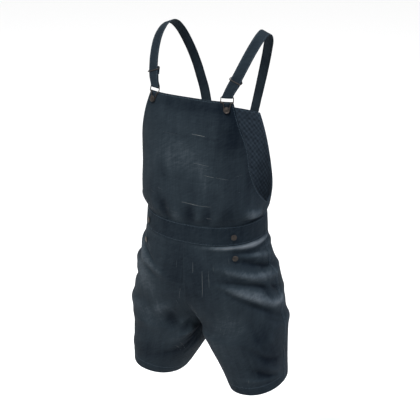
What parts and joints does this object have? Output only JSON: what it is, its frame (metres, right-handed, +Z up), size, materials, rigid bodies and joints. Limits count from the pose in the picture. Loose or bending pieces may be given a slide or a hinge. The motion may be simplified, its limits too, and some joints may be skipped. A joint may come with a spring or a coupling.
{
  "type": "denim shortalls",
  "caption": "Bib-front denim shorts in their worn shape, open at neck, armholes and hems, with adjustable shoulder straps on wire clips.",
  "frame": {"origin": "midway between the two places where the wearer's shoulders carry the straps", "axes": "+Z up, -Y to the front where the bib is, +X to the wearer's left"},
  "size_m": [0.4176, 0.2597, 0.9106],
  "materials": {
    "denim": "matte twill, faded over the chest and thighs",
    "strap_denim": "matte twill, stitched along both edges",
    "bronze": "dull antique bronze"
  },
  "bodies": {
    "root": {"bib_front": "denim", "back_panel": "denim", "waistband_front": "denim", "waistband_back": "denim", "left_leg_front": "denim", "left_leg_back": "denim", "right_leg_front": "denim", "right_leg_back": "denim", "left_strap": "strap_denim", "right_strap": "strap_denim", "left_slider": "bronze", "left_clip": "bronze", "left_bib_button": "bronze", "left_waist_button": "bronze", "left_hip_button": "bronze", "right_slider": "bronze", "right_clip": "bronze", "right_bib_button": "bronze", "right_waist_button": "bronze", "right_hip_button": "bronze"}
  },
  "joints": []
}
